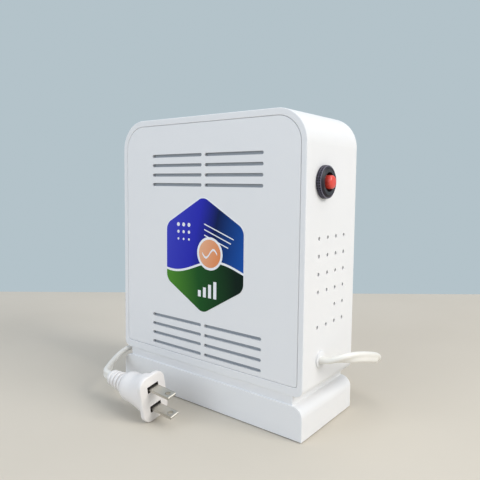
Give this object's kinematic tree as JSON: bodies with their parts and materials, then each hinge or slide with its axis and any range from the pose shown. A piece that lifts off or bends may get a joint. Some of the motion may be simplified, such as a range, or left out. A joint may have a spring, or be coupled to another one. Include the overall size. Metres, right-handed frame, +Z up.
{
  "type": "travel voltage converter",
  "caption": "Upright white travel voltage converter on a grooved foot, grooved front with a six-sided label, red reset button, vent holes and a short flat cord with a two-blade plug.",
  "frame": {"origin": "on the surface it stands on, under the middle of the housing", "axes": "+Z up, +Y from the label side to the back, +X to the side with the reset button and the cord"},
  "size_m": [0.1714, 0.134, 0.182],
  "materials": {
    "white_plastic": "fine satin moulding",
    "zinc_steel": "zinc plated",
    "grey_rubber": "matt",
    "core_steel": "wound strip",
    "copper_wire": "enamelled copper wire",
    "yellow_tape": "polyester film tape",
    "black_rubber": "matt",
    "fuse_metal": "drawn can",
    "black_plastic": "moulded",
    "red_plastic": "moulded",
    "spring_steel": "bright wire",
    "brass": "stamped",
    "black_lead": "vinyl insulation",
    "red_lead": "vinyl insulation",
    "white_lead": "vinyl insulation",
    "label_print": "printed film",
    "cord_vinyl": "flat twin vinyl cord",
    "plug_vinyl": "moulded vinyl",
    "nickel": "nickel plated brass"
  },
  "bodies": {
    "converter": {"housing_shell": "white_plastic", "front_panel": "white_plastic", "rear_cover": "white_plastic", "pedestal": "white_plastic", "base_plate": "white_plastic", "case_screws": "zinc_steel", "neck_screws": "zinc_steel", "base_screws": "zinc_steel", "rubber_feet": "grey_rubber", "ring_core": "core_steel", "common_winding": "copper_wire", "interlayer_tape": "yellow_tape", "series_winding": "copper_wire", "outer_wrap": "yellow_tape", "rear_pad": "black_rubber", "front_pad": "black_rubber", "dish_washer": "zinc_steel", "centre_bolt": "zinc_steel", "centre_nut": "zinc_steel", "mount_bracket": "zinc_steel", "bracket_screws": "zinc_steel", "thermal_fuse": "fuse_metal", "breaker_case": "black_plastic", "breaker_bushing": "black_plastic", "breaker_nut": "black_plastic", "reset_spring": "spring_steel", "breaker_terminals": "brass", "bimetal_disc": "brass", "cord_bushing": "white_plastic", "outlet_body": "white_plastic", "outlet_contacts": "brass", "line_lead": "black_lead", "fuse_lead": "black_lead", "winding_lead": "red_lead", "neutral_lead": "white_lead", "output_lead": "red_lead", "output_neutral_lead": "white_lead", "label": "label_print", "cord": "cord_vinyl", "plug_body": "plug_vinyl", "plug_insert": "black_plastic", "plug_blades": "nickel"},
    "button": {"reset_button": "red_plastic"}
  },
  "joints": [
    {"name": "reset_push", "type": "slide", "parent": "converter", "child": "button", "axis": [1, 0, 0], "range_m": [-0.0015, 0.003], "stiffness_N_per_m": 300, "deforming": ["reset_spring"]}
  ]
}
